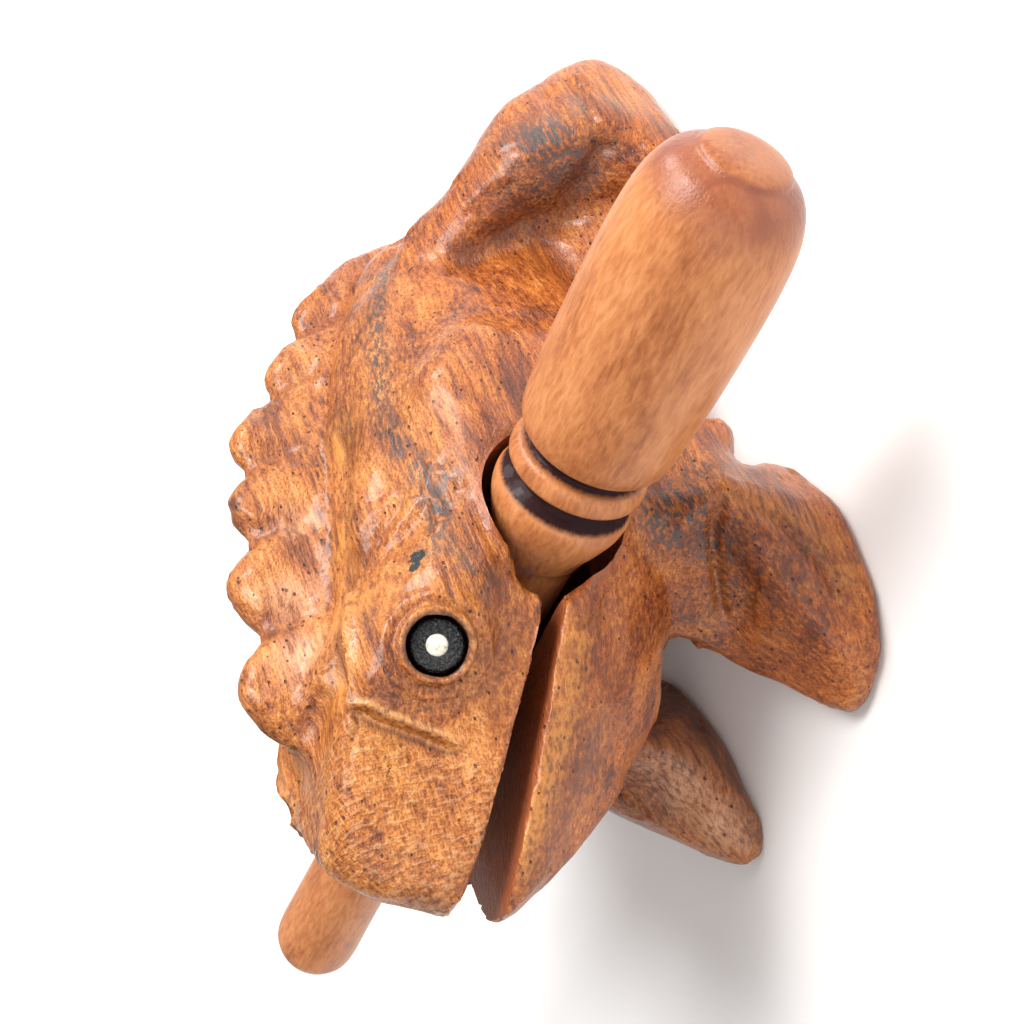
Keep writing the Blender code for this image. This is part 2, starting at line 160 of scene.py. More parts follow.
PITS = (  # centre, width, depth, on the left side only
    ((34.0, 42.6, 13.4), 1.8, 1.3), ((19.3, 37.5, 28.7), 0.9, 0.6), ((19.4, 6.4, 41.2), 0.6, 0.4),
    ((19.9, 3.4, 40.6), 0.7, 0.45), ((18.9, 1.0, 42.0), 0.5, 0.3), ((20.2, -0.6, 39.0), 0.5, 0.3),
)
BULGES = (((20.6, 16.5, 38.4), 4.4, 1.5),)
SMOOTH_PLACES = (
    ((20.0, 16.0, 34.0), 9.0, 1.0), ((18.0, 28.0, 30.0), 9.0, 1.0), ((28.0, 50.0, 16.0), 8.0, 0.8),
    ((20.0, 10.0, 22.0), 10.0, 1.0), ((24.0, 4.0, 8.0), 6.0, 1.0),
)
CREST_VALLEYS = (  # (y, z)
    (-12.6, 57.0), (1.2, 56.2), (13.6, 54.0), (24.0, 51.6), (36.6, 45.4), (47.4, 39.4),
)
CREST_CUT_WIDTH = 1.9
CREST_CUT_DEPTH = 0.8
CREST_CUT = ((1.2, 0.0, 0.4), (3.2, 1.2, -3.6))  # across, and back and up from the valley
CREST_SIDES = (5.0, 6.0)
CREST_RISE = (-0.4, 0.4)
CREST_WORN_ACROSS = (2.5, 4.5)
CREST_WORN_HEIGHTS = (34.0, 38.0)
CREST_WEAR_ROUNDS = 5
BLUNT_PLACES = (
    ((0.0, -33.0, 41.2), 5.4, 1.0), ((0.6, -32.0, 46.6), 3.4, 0.9), ((18.3, -8.2, 35.4), 2.6, 1.0),
    ((18.1, -9.2, 32.2), 1.5, 0.8),
)
LIP_WIDTH = 0.9
LIP_REACH = (-7.0, -4.0)
LIP_ROUNDS = 9
LIP_TOP = 49.0
LIP_RISE = 0.11
BLUNT_ROUNDS = 80
UNMARKED_FROM = 0.45
FACET_COUNT = 700
FACET_SEED = 11
FACET_TURN = 40.0  # how much a turn of the surface counts against its distance
FACET_SHARE = 0.34
FACET_LIMIT = 0.28
SMOOTH_SHARE = 0.85

# The snout's side panel: how far ahead of its step, how high and how far sideways it faces.
PANEL_START = (-0.15, 0.35)
PANEL_FADE = (1.0, 10.0)
PANEL_DEPTH = 0.8
PANEL_HEIGHTS = (43.4, 46.4)
PANEL_FACING = (0.35, 0.6)
PANEL_LIP = (-0.5, 0.4)  # place ahead of the step, width
PANEL_LIP_RISE = 0.28
COMBED_PART = ((0.4, 1.2), (43.0, 45.0))  # ahead of the step and height, for its waves
RASPED_PART = ((0.2, 1.0), (40.0, 43.0))  # and for its colour

# Smooth random waves: how each direction is counted, size, seed.
WAVE_COUNT = 10
WAVE_SPREAD = (0.6, 1.4)
BROAD_WAVE = ((1.0, 1.0, 1.0), 6.0, 3)
BROAD_RISE = 0.08
TOOL_WAVE = ((1.0, 0.35, 1.0), 1.7, 4)
TOOL_RISE = 0.05
RASP_WAVE = ((0.4, 1.0, 0.4), 0.9, 9)
RASP_RISE = 0.07
LIP_WAVE = ((1.0, 1.0, 1.0), 1.6, 21)

# What the colours follow. Above 0, a bend is on an edge, and below 0 in a hollow.
STEP_SHADE = (0.2, 0.28)  # place ahead of the step, width
STEP_SHADE_STRENGTH = 0.8
# Painted highlight: a bright line along the bevel above the snout's step.
STEP_HIGHLIGHT = (-0.45, 0.35)
STEP_HEIGHTS = (44.0, 46.4)
STEP_FACING = (0.3, 0.5)
GROOVE_SHADE = 0.6
# Painted shade: the wood is tinted darker and redder below these heights.
LOW_SHADE_HEIGHTS = (26.0, 46.0)
# Painted shade in hollows of the surface: where it bends inwards, and how strongly it is darkened.
HOLLOW_BEND = (0.10, 0.45)
HOLLOW_SHADE_STRENGTH = 0.7
WORN_BEND = (0.06, 0.35)
BEND_FLOOR = 0.15
BEND_ROUNDS = 5

# Colours that lie in patches: centre, width, strength. They are on the left side, and are mirrored.
STAINS = (
    ((21.6, -2.4, 19.0), 4.4, 0.95), ((23.6, 1.6, 15.0), 3.4, 0.7), ((20.0, -5.6, 14.6), 3.4, 0.8),
    ((16.0, -8.0, 11.6), 3.4, 0.6), ((32.6, 45.6, 19.6), 4.8, 0.9), ((30.4, 42.6, 17.0), 4.2, 0.85),
    ((27.0, 42.4, 19.8), 4.0, 0.75), ((19.4, 5.0, 41.2), 1.8, 0.7), ((8.4, -21.6, 30.4), 3.4, 0.35),
    ((22.4, -13.0, 4.6), 2.4, 0.35), ((21.0, 3.0, 24.0), 5.0, 0.5), ((11.8, -9.4, 14.0), 4.0, 0.5),
    ((19.0, -11.0, 9.0), 6.0, 0.45),
)
STAIN_AND_SHADOW_ROUTES = (  # route, width, strength
    (((12.3, 45.6, 32.4), (13.1, 33.7, 37.6), (14.4, 20.9, 41.4), (16.4, 11.4, 43.0)), 1.7, 0.7),
    (((17.6, 8.0, 42.4), (18.0, 2.0, 42.6), (17.4, -4.0, 43.8), (18.2, -8.0, 42.0)), 1.7, 0.85),
    (((35.0, 52.0, 14.6), (34.8, 46.0, 15.6)), 1.4, 0.4),
    # Painted shadow on the inner side of the feet.
    (((11.5, 0.6, 2.4), (9.5, -4.6, 2.8), (8.7, -9.6, 2.1), (8.8, -15.2, 1.4), (10.2, -20.2, 0.8)), 2.6, 0.5),
)
# Reddened patches: partly reddish stain, partly painted shade on the front legs.
REDDENED_AND_SHADED = (
    ((18.4, -8.4, 40.2), 3.2, 0.9), ((15.6, -13.0, 39.4), 3.2, 0.85), ((12.4, -17.5, 40.9), 3.0, 0.7),
    ((19.6, -2.0, 39.0), 3.0, 0.7), ((12.6, -15.6, 31.0), 5.0, 0.6), ((16.6, -9.0, 29.0), 5.0, 0.7),
    ((20.6, -11.0, 7.0), 5.0, 0.6), ((14.0, -12.0, 8.0), 6.0, 0.6), ((24.5, 42.3, 23.2), 3.2, 0.6),
    ((12.2, 2.6, 48.2), 1.5, 1.0), ((19.0, -12.0, 8.0), 8.0, 0.5), ((24.6, -2.0, 6.0), 5.0, 0.35),
    ((19.8, 40.6, 26.6), 2.6, 1.0), ((21.6, 5.0, 30.0), 6.0, 0.5), ((22.0, 38.0, 20.0), 5.0, 0.7),
    ((22.2, 40.9, 22.8), 2.6, 1.0), ((27.0, 44.0, 20.0), 7.0, 0.5), ((15.5, -8.0, 46.0), 6.0, 0.4),
)
# The second route is painted shadow, on the inner side of the feet.
REDDENED_AND_SHADED_ROUTES = (
    (((15.0, -10.5, 25.0), (13.4, -13.0, 26.3), (9.9, -18.7, 29.5), (6.3, -25.1, 33.9), (3.8, -29.7, 37.4)),
     2.5, 0.75),
    (((11.5, 0.6, 2.4), (9.5, -4.6, 2.8), (8.7, -9.6, 2.1), (8.8, -15.2, 1.4), (10.2, -20.2, 0.8)), 2.6, 1.0),
)
GOLDEN = (
    ((7.4, 22.0, 43.8), 3.4, 0.8), ((7.2, 8.0, 47.2), 3.2, 0.9), ((7.8, -2.0, 50.6), 3.0, 0.9),
    ((6.8, -10.0, 53.8), 2.8, 0.8), ((12.4, -6.0, 50.0), 3.0, 0.7), ((35.0, 50.0, 9.0), 3.4, 0.6),
    ((8.0, -18.0, 52.0), 2.4, 0.5), ((16.6, -11.0, 45.0), 2.4, 0.5),
)
# The first route is painted light: a lit band along the jaw below the lower lip.
GOLDEN_AND_LIT_ROUTES = (
    (((15.2, -13.1, 31.7), (11.4, -19.5, 34.3), (8.1, -24.9, 37.2), (4.8, -30.0, 40.0)), 1.7, 0.9),
    (((24.9, -3.0, 13.0), (24.8, -6.5, 6.0), (22.8, -13.4, 3.0)), 1.6, 0.5),
)
PALE = (((3.2, 4.0, 53.0), 2.6, 0.7), ((3.6, -3.6, 54.2), 2.6, 0.8), ((3.2, 14.0, 50.0), 2.4, 0.5))
# Lighter lines along the brow ridge and the lower lip's edge: wear and painted highlight.
WORN_AND_HIGHLIGHT_ROUTES = (
    (((10.4, 0.4, 49.8), (11.5, -8.8, 53.0), (9.2, -14.4, 54.2)), 0.5, 1.0),
    (((17.4, -10.4, 33.0), (11.7, -19.6, 36.8), (4.0, -31.0, 41.0)), 0.4, 0.9),
)
# One side only.
# Painted light: the lit front of the right foot made paler.
PAINTED_LIGHT_RIGHT_FOOT = (((-11.4, -13.4, 8.4), 4.6, 1.0), ((-11.0, -18.6, 5.0), 3.6, 1.0))
BLOTCHES = (
    ((16.7, -3.5, 46.0), 0.9, 1.0), ((16.5, -4.9, 46.6), 0.8, 1.0), ((15.9, -6.2, 47.6), 0.6, 1.0),
)

# Camera and lights, in metres, but for the lens and the sensor. The camera is fitted to the photo.
CAMERA_PLACE = (0.12927, -0.12197, 0.12003)
CAMERA_BACK = (0.6325, -0.6065, 0.4818)
CAMERA_UP = (0.6921, 0.7218, 0.0)
CAMERA_LENS = 63.28
SENSOR_WIDTH = 36.0
NEAREST_SEEN = 0.01
FLOOR_SIZE = 4.0
LIGHTS = (  # name, place, size, watts, colour
    ("key", (0.39, 0.19, 0.63), 0.46, 7.4, (1.0, 0.98, 0.95)),
    ("gloss", (0.47, 0.20, 0.50), 0.12, 1.3, (1.0, 0.98, 0.96)),
    ("behind", (0.36, 0.66, 0.40), 0.24, 2.9, (1.0, 0.98, 0.96)),
    ("front_fill", (0.30, -0.75, 0.40), 0.80, 3.3, (1.0, 0.99, 0.97)),
)
LIGHTS_AIM = (0.0, -0.01, 0.03)
WORLD_STRENGTH = 0.46

# Colours. A ramp's stops are (tone, colour).
WOOD_TONES = (
    (0.38, (0.115, 0.026, 0.005)), (0.44, (0.25, 0.066, 0.011)), (0.50, (0.40, 0.124, 0.021)),
    (0.56, (0.52, 0.188, 0.037)), (0.63, (0.62, 0.275, 0.078)),
)
# Painted shade low down: the tint that darkens and reddens the lower parts.
LOW_SHADE_TINT = (0.92, 0.74, 0.48)
SPECK_TINT = (0.62, 0.50, 0.42)
WOOD_PATCHES = (  # attribute, texture, its range and the share at each end, strength, colour
    # The golden patch is partly painted light.
    ("golden_and_lit", "grain", (0.36, 0.58, 0.35, 1.0), 0.7, (0.64, 0.26, 0.042)),
    # The pale patch is partly paler wood, partly painted light on the right foot.
    ("pale", "grain", (0.32, 0.56, 0.3, 1.0), 0.8, (0.74, 0.42, 0.25)),
    # The reddened patch is partly reddish stain, partly painted shade and shadow.
    ("red_stain_and_shade", "grain", (0.40, 0.62, 1.0, 0.55), 0.8, (0.17, 0.042, 0.012)),
    # The worn patch is partly wear and partly painted highlight.
    ("worn", "fleck", (0.36, 0.56, 0.3, 1.0), 0.7, (0.68, 0.34, 0.12)),
)
# Grey stain, also used for painted shadow on the inner side of the feet.
STAIN_AND_SHADOW_GREY = (0.062, 0.042, 0.038)
# Painted shade: the brown of hollows, grooves, pits, eye sockets and the line under the snout's step.
HOLLOW_SHADE_BROWN = (0.075, 0.022, 0.010)
INSIDE_BROWN = (0.30, 0.080, 0.026)
BLOTCH_BLACK = (0.012, 0.013, 0.014)
PORE_BROWN = (0.045, 0.012, 0.006)
DASH_BROWN = (0.09, 0.024, 0.010)
COMBED_WOOD = (0.68, 0.38, 0.18)
TURNED_TONES = (
    (0.34, (0.27, 0.080, 0.025)), (0.45, (0.39, 0.130, 0.043)), (0.54, (0.48, 0.178, 0.060)),
    (0.66, (0.57, 0.235, 0.092)),
)
END_BROWN = (0.23, 0.062, 0.030)
BURNT_BLACK = (0.020, 0.005, 0.006)
LACQUER_TONES = (
    (0.50, (0.002, 0.002, 0.003)), (0.62, (0.007, 0.009, 0.011)), (0.72, (0.07, 0.075, 0.08)),
)
WHITE_TONES = (
    (0.34, (0.36, 0.32, 0.17)), (0.44, (0.60, 0.57, 0.45)), (0.56, (0.70, 0.68, 0.61)),
)
FLOOR_TONES = ((0.3, (0.86, 0.86, 0.86)), (0.7, (0.89, 0.89, 0.89)))


# ---- shape helpers -----------------------------------------------------------------------------------

def add_object(name, mesh):
    obj = bpy.data.objects.new(name, mesh)
    bpy.context.scene.collection.objects.link(obj)
    return obj


def baked(obj):
    """The mesh that obj's modifiers make."""
    graph = bpy.context.evaluated_depsgraph_get()
    return bpy.data.meshes.new_from_object(obj.evaluated_get(graph))


def in_chamber(points, margin):
    """Whether each point is in the chamber, or within the margin outside it."""
    return np.linalg.norm((points - CHAMBER_CENTRE) / (np.array(CHAMBER_RADII) + margin), axis=1) < 1.0


def edge_limits(places):
    """The longest edge that the mesh may have at each place."""
    mirrored = on_left(places)
    limit = np.full(len(places), COARSE_EDGE)
    for centre, radius, edge in FINE_PLACES:
        limit[np.linalg.norm(mirrored - np.array(centre), axis=1) < radius] = edge
    limit[in_chamber(places, HIDDEN_DEPTH)] = HIDDEN_EDGE
    return limit


def fine_copy(node, name):
    """A finer mesh of a CAD node's shape, which still has its sharp cut edges, marked sharp."""
    bm = bmesh.new()
    bm.from_mesh(frame["nodes"][node].data)
    bmesh.ops.remove_doubles(bm, verts=bm.verts[:], dist=CAD_WELD * MM)
    for edge in bm.edges:
        edge.smooth = edge.calc_face_angle(0.0) < CREASE_ANGLE
    for _ in range(SPLIT_ROUNDS):
        edges = bm.edges[:]
        ends = np.array([[*edge.verts[0].co, *edge.verts[1].co] for edge in edges])
        lengths = np.linalg.norm(ends[:, 3:] - ends[:, :3], axis=1) / MM
        middles = (0.5 * (ends[:, 3:] + ends[:, :3]) - np.array(CARVER_ORIGIN)) / MM
        chosen = np.nonzero(lengths > edge_limits(middles))[0]
        if not len(chosen):
            break
        bmesh.ops.subdivide_edges(bm, edges=[edges[k] for k in chosen], cuts=1)
        bmesh.ops.triangulate(bm, faces=[face for face in bm.faces if len(face.verts) > 3])
    mesh = bpy.data.meshes.new(name)
    bm.to_mesh(mesh)
    bm.free()
    return add_object(name, mesh)


def read_points(mesh):
    """The mesh's points in the carver's millimetres."""
    flat = np.empty(3 * len(mesh.vertices))
    mesh.vertices.foreach_get("co", flat)
    return (flat.reshape(-1, 3) - np.array(CARVER_ORIGIN)) / MM


def write_points(mesh, points):
    mesh.vertices.foreach_set("co", (points * MM + np.array(CARVER_ORIGIN)).ravel())
    mesh.update()


def read_normals(mesh):
    flat = np.empty(3 * len(mesh.vertices))
    mesh.vertex_normals.foreach_get("vector", flat)
    return flat.reshape(-1, 3)


def read_edges(mesh):
    flat = np.empty(2 * len(mesh.edges), dtype=np.int32)
    mesh.edges.foreach_get("vertices", flat)
    return flat.reshape(-1, 2)


def neighbour_mean(values, edges):
    """Each point's mean over its neighbours, for one value or one vector a point."""
    count = np.bincount(edges.ravel(), minlength=len(values)).astype(float)
    columns = values.reshape(len(values), -1)
    total = np.empty_like(columns)
    for k in range(columns.shape[1]):
        total[:, k] = np.bincount(edges[:, 0], columns[edges[:, 1], k], len(values))
        total[:, k] += np.bincount(edges[:, 1], columns[edges[:, 0], k], len(values))
    return (total / np.maximum(count, 1.0)[:, None]).reshape(values.shape)


def pulled(points, edges, share, pull):
    """Moves each point towards its neighbours' mean, by pull times its own share of the way."""
    return points + pull * share[:, None] * (neighbour_mean(points, edges) - points)


def relaxed(points, edges, share, rounds):
    """Smooths the points, each by its own share, without shrinking the whole."""
    for _ in range(rounds):
        points = pulled(points, edges, share, PULL_IN)
        points = pulled(points, edges, share, PUSH_OUT)
    return points


def worn_down(points, edges, share, rounds):
    """Rounds the points off, each by its own share."""
    for _ in range(rounds):
        points = pulled(points, edges, share, PULL_IN)
    return points


def read_sharp(mesh):
    """Which edges are marked sharp."""
    sharp = np.zeros(len(mesh.edges), dtype=bool)
    mesh.attributes["sharp_edge"].data.foreach_get("value", sharp)
    return sharp


def crease_edges(mesh, edges):
    """(the sharp edges, and how many of them meet at each point)."""
    creases = edges[read_sharp(mesh)]
    return creases, np.bincount(creases.ravel(), minlength=len(mesh.vertices))


def unmark_creases(mesh, edges, rounded):
    """Clears the sharp mark of the edges that lie wholly in the rounded part."""
    sharp = read_sharp(mesh) & (rounded[edges].min(axis=1) < UNMARKED_FROM)
    mesh.attributes["sharp_edge"].data.foreach_set("value", sharp)


def step(values, start, end):
    """0 before start, 1 after end, and smooth between."""
    t = np.clip((values - start) / (end - start), 0.0, 1.0)
    return t * t * (3.0 - 2.0 * t)


def distance_to_route(points, route):
    best = np.full(len(points), np.inf)
    for a, b in zip(route, route[1:]):
        a, b = np.array(a), np.array(b)
        t = np.clip((points - a) @ (b - a) / ((b - a) @ (b - a)), 0.0, 1.0)
        best = np.minimum(best, np.linalg.norm(points - a - t[:, None] * (b - a), axis=1))
    return best


def bell(distance, width):
    return np.exp(-(distance / width) ** 2)


def spots(points, places):
    """The strongest of some round soft spots, each (centre, width, strength)."""
    value = np.zeros(len(points))
    for centre, width, strength in places:
        value = np.maximum(value, strength * bell(np.linalg.norm(points - np.array(centre), axis=1), width))
    return value


def ripple(points, wave):
    """A smooth random wave of about -1 to 1, whose humps are about size across."""
    stretch, size, seed = wave
    points = points * stretch
    rng = np.random.default_rng(seed)
    value = np.zeros(len(points))
    for _ in range(WAVE_COUNT):
        heading = rng.normal(size=3)
        heading *= math.pi / size / np.linalg.norm(heading) * rng.uniform(*WAVE_SPREAD)
        value += np.sin(points @ heading + rng.uniform(0.0, math.tau))
    return value / math.sqrt(WAVE_COUNT)


def on_left(points):
    """The points with those of the right side mirrored to the left."""
    return points * np.where(points[:, :1] < 0.0, (-1.0, 1.0, 1.0), 1.0)


def strongest(points, routes, widening=1.0):
    """The strongest of some soft lines, each (route, width, strength)."""
    value = np.zeros(len(points))
    for route, width, strength in routes:
        value = np.maximum(value, strength * bell(distance_to_route(points, route), width * widening))
    return value


def store(mesh, name, values):
    layer = mesh.attributes.new(name, "FLOAT", "POINT")
    layer.data.foreach_set("value", values.astype(np.float32))


# ---- the carved body ---------------------------------------------------------------------------------

def ahead_of_step(points):
    """How far each point lies in front of the step that bounds the snout's side panel."""
    heights = [z for z, _ in reversed(STEP_LINE)]
    places = [y for _, y in reversed(STEP_LINE)]
    return np.interp(points[:, 2], heights, places) - points[:, 1]


def snout_depth(left, normals):
    """The snout's side panel, cut back below the eye's flat, with a sharp upper edge."""
    ahead = ahead_of_step(left)
    side = step(np.abs(normals[:, 0]), *PANEL_FACING) * step(left[:, 2], *PANEL_HEIGHTS)
    panel = step(ahead, *PANEL_START) * (1.0 - step(ahead, *PANEL_FADE))
    place, width = PANEL_LIP
    return side * (PANEL_LIP_RISE * bell(ahead - place, width) - PANEL_DEPTH * panel)


def part_of_panel(points, start, heights):
    """1 on the part of the snout's side that is ahead of the step's start and above the heights."""
    return step(ahead_of_step(on_left(points)), *start) * step(points[:, 2], *heights)


def along_step(left, normals, line):
    """1 on a line beside the step, given as its place ahead of it and its width."""
    place, width = line
    near = bell(ahead_of_step(left) - place, width) * step(left[:, 2], *STEP_HEIGHTS)
    return near * step(np.abs(normals[:, 0]), *STEP_FACING)


def crest_cuts():
    """The cuts that the crest's notches leave down its side, as routes with a width and a depth."""
    cuts = []
    for y, z in CREST_VALLEYS:
        route = [(across, y + back, z + up) for across, back, up in CREST_CUT]
        cuts.append((route, CREST_CUT_WIDTH, CREST_CUT_DEPTH))
    return cuts


def crest_teeth(points):
    """1 on the crest's teeth, which are worn."""
    across = 1.0 - step(np.abs(points[:, 0]), *CREST_WORN_ACROSS)
    return across * step(points[:, 2], *CREST_WORN_HEIGHTS)


def crest_side(points):
    """1 on the whole crest, down to its foot."""
    foot = np.interp(points[:, 1], [y for y, _ in CREST_FOOT], [z for _, z in CREST_FOOT])
    return step(points[:, 2] - foot, *CREST_RISE) * (1.0 - step(np.abs(points[:, 0]), *CREST_SIDES))


def facets(points, normals):
    """How far each point lies under the flat that a chisel left round the nearest of some places."""
    rng = np.random.default_rng(FACET_SEED)
    chosen = rng.choice(len(points), FACET_COUNT, replace=False)
    nearest = np.full(len(points), np.inf)
    depth = np.zeros(len(points))
    for place, normal in zip(points[chosen], normals[chosen]):
        away = points - place
        height = away @ normal
        distance = np.einsum("ij,ij->i", away, away) + FACET_TURN * (1.0 - normals @ normal)
        closer = distance < nearest
        nearest[closer] = distance[closer]
        depth[closer] = height[closer]
    return -depth


def eye_rings(points):
    """(the rings turned round each eye, how much painted shade darkens its socket)."""
    rise = np.zeros(len(points))
    socket = np.zeros(len(points))
    for node, side in (("eye_left", 1.0), ("eye_right", -1.0)):
        facing = np.array((side * EYE_FACING[0], EYE_FACING[1], EYE_FACING[2]))
        facing /= np.linalg.norm(facing)
        away = points - np.array((middle(node) - CARVER_ORIGIN) / MM)
        along = away @ facing
        radius = np.linalg.norm(away - along[:, None] * facing, axis=1)
        near = (np.abs(along) < RING_LEVEL) & (radius < RING_REACH)
        for ring, width, height in EYE_RINGS:
            rise += near * (radius > RING_START) * height * bell(radius - ring, width)
        socket = np.maximum(socket, near * (1.0 - step(radius, *SOCKET_EDGE)))
    return rise, socket


def height_on(plane, points):
    """The height of the mouth's floor or roof at each point."""
    y, z, slope = plane
    return z + slope * (points[:, 1] - y)


def lower_lip(points):
    """1 at the mouth floor's level, where the lower lip's edge is worn round."""
    near_floor = bell(points[:, 2] - height_on(MOUTH_FLOOR, points), LIP_WIDTH)
    return near_floor * (1.0 - step(points[:, 1], *LIP_REACH))


def carve(points, normals, smooth):
    """How far out each point moves along its normal."""
    left = on_left(points)
    chisel = np.clip(FACET_SHARE * facets(points, normals), -FACET_LIMIT, FACET_LIMIT)
    depth = snout_depth(left, normals) + eye_rings(points)[0]
    depth -= np.maximum(strongest(left, GROOVES), strongest(left, crest_cuts()))
    depth += strongest(left, RIDGES) + spots(left, BULGES)
    depth -= spots(points, PITS)
    depth += (1.0 - SMOOTH_SHARE * smooth) * (chisel + TOOL_RISE * ripple(points, TOOL_WAVE))
    depth += BROAD_RISE * ripple(points, BROAD_WAVE)
    return depth + part_of_panel(points, *COMBED_PART) * RASP_RISE * ripple(points, RASP_WAVE)


def inside_amount(points, normals):
    """1 on the walls of the mouth, bore and chamber."""
    back, up = MOUTH_FACING
    square = step(np.abs(normals[:, 1] * back + normals[:, 2] * up), *MOUTH_SQUARE)
    near_floor = bell(points[:, 2] - height_on(MOUTH_FLOOR, points), MOUTH_WALL)
    near_roof = bell(points[:, 2] - height_on(MOUTH_ROOF, points), MOUTH_WALL)
    mouth = np.maximum(near_floor, near_roof) * square * (1.0 - step(points[:, 1], *MOUTH_END))
    bore = 1.0 - step(np.hypot(points[:, 1], points[:, 2] - BORE_HEIGHT), *BORE_FADE)
    return np.maximum(np.maximum(mouth, bore), in_chamber(points, CHAMBER_SKIN))


def bend_of(points, normals, edges):
    """How sharply the surface bends at each point: above 0 on edges and below 0 in hollows."""
    spread = np.linalg.norm(points[edges[:, 0]] - points[edges[:, 1]], axis=1) ** 2
    spread = np.bincount(edges.ravel(), np.repeat(spread, 2)) / np.bincount(edges.ravel())
    rise = np.einsum("ij,ij->i", points - neighbour_mean(points, edges), normals)
    bend = rise / (spread + BEND_FLOOR)
    for _ in range(BEND_ROUNDS):
        bend = neighbour_mean(bend, edges)
    return bend


def store_colours(mesh, points, normals, bend):
    """What the wood's material needs to know about each point."""
    left = on_left(points)
    inside = inside_amount(points, normals)
    crest = crest_side(points)
    # Painted shade in the grooves, pits and eye sockets and under the snout's step.
    hollow = np.maximum(strongest(left, GROOVES, GROOVE_SHADE), spots(points, PITS))
    hollow = np.maximum(hollow, eye_rings(points)[1])
    hollow = np.maximum(hollow, STEP_SHADE_STRENGTH * along_step(left, normals, STEP_SHADE))
    # Painted highlight along the step's bevel, the brow ridge and the lower lip's edge.
    worn = np.maximum(along_step(left, normals, STEP_HIGHLIGHT), strongest(left, WORN_AND_HIGHLIGHT_ROUTES))
    # Painted shade in the crest's notch cuts, and painted shadow on the inner side of the feet.
    cuts = np.maximum(strongest(left, crest_cuts()), strongest(left, REDDENED_AND_SHADED_ROUTES))
    # Partly painted light: a lit band along the jaw below the lower lip.
    golden_and_lit = np.maximum(spots(left, GOLDEN), strongest(left, GOLDEN_AND_LIT_ROUTES))
    store(mesh, "inside", inside)
    # Painted shade, full low down and gone higher up.
    store(mesh, "low", 1.0 - step(points[:, 2], *LOW_SHADE_HEIGHTS))
    # dark is painted shade, in hollows and along grooves.
    store(mesh, "dark", np.clip(HOLLOW_SHADE_STRENGTH * step(-bend, *HOLLOW_BEND) + hollow, 0.0, 1.0))
    # worn is partly wear on edges and partly painted highlight.
    store(mesh, "worn", np.maximum(step(bend, *WORN_BEND), worn) * (1.0 - inside))
    # stain is grey stain, and painted shadow on the inner side of the feet.
    store(mesh, "stain", np.maximum(spots(left, STAINS), strongest(left, STAIN_AND_SHADOW_ROUTES)))
    # red is partly reddish stain, partly painted shade and shadow.
    store(mesh, "red_stain_and_shade", np.maximum(spots(left, REDDENED_AND_SHADED), cuts))
    store(mesh, "golden_and_lit", golden_and_lit * (1.0 - crest))
    # pale is partly paler wood, partly painted light on the right foot.
    store(mesh, "pale", np.maximum(spots(left, PALE), spots(points, PAINTED_LIGHT_RIGHT_FOOT)))
    store(mesh, "blotch", spots(points, BLOTCHES))
    store(mesh, "crest", crest)
    store(mesh, "rasp", part_of_panel(points, *RASPED_PART) * (1.0 - inside))


def make_body():
    body = fine_copy("frog_body", "frog_carving")
    mesh = body.data
    edges = read_edges(mesh)
    creases, meeting = crease_edges(mesh, edges)
    points = read_points(mesh)
    on_floor = points[:, 2] < FLOOR_TOUCH
    free = ((meeting < 2) & ~on_floor).astype(float)
    lines = (meeting == 2).astype(float)
    for _ in range(BODY_ROUNDS):
        points = relaxed(points, edges, free, 1)
        points = relaxed(points, creases, lines, 1)
    smooth = spots(on_left(points), SMOOTH_PLACES)
    points = relaxed(points, edges, free * smooth, FLANK_ROUNDS)
    blunt = spots(on_left(points), BLUNT_PLACES)
    lip = lower_lip(points)
    unmark_creases(mesh, edges, np.maximum(blunt, lip))
    points = worn_down(points, edges, blunt, BLUNT_ROUNDS)
    points = worn_down(points, edges, lip, LIP_ROUNDS)
    teeth = ~on_floor * crest_teeth(points)
    points = worn_down(points, edges, teeth, CREST_WEAR_ROUNDS)
    write_points(mesh, points)
    normals = read_normals(mesh)
    outside = np.maximum(free, teeth) * (1.0 - inside_amount(points, normals))
    depth = outside * carve(points, normals, smooth)
    lips = lines * (points[:, 1] < LIP_REACH[1]) * (points[:, 2] < LIP_TOP)
    depth += lips * LIP_RISE * ripple(points, LIP_WAVE)
    points = points + depth[:, None] * normals
    points[:, 2] = np.where(on_floor, 0.0, np.maximum(points[:, 2], LOWEST_CARVED))
    write_points(mesh, points)
    normals = read_normals(mesh)
    store_colours(mesh, points, normals, bend_of(points, normals, edges))
    mesh.shade_smooth()
    return body


# ---- turned pieces -----------------------------------------------------------------------------------

def smooth_outline(outline, steps):
    """A curve through the outline's points (Catmull-Rom), ending exactly on its ends."""
    known = np.array(outline)
    padded = np.vstack((2 * known[0] - known[1], known, 2 * known[-1] - known[-2]))
    curve = []
    for k in range(1, len(padded) - 2):
        a, b, c, d = padded[k - 1:k + 3]
        for t in np.arange(steps) / steps:
            curve.append(0.5 * (2 * b + (c - a) * t + (2 * a - 5 * b + 4 * c - d) * t ** 2
                                + (3 * b - a - 3 * c + d) * t ** 3))
    curve.append(known[-1])
    return [(along, max(radius, 0.0)) for along, radius in curve]


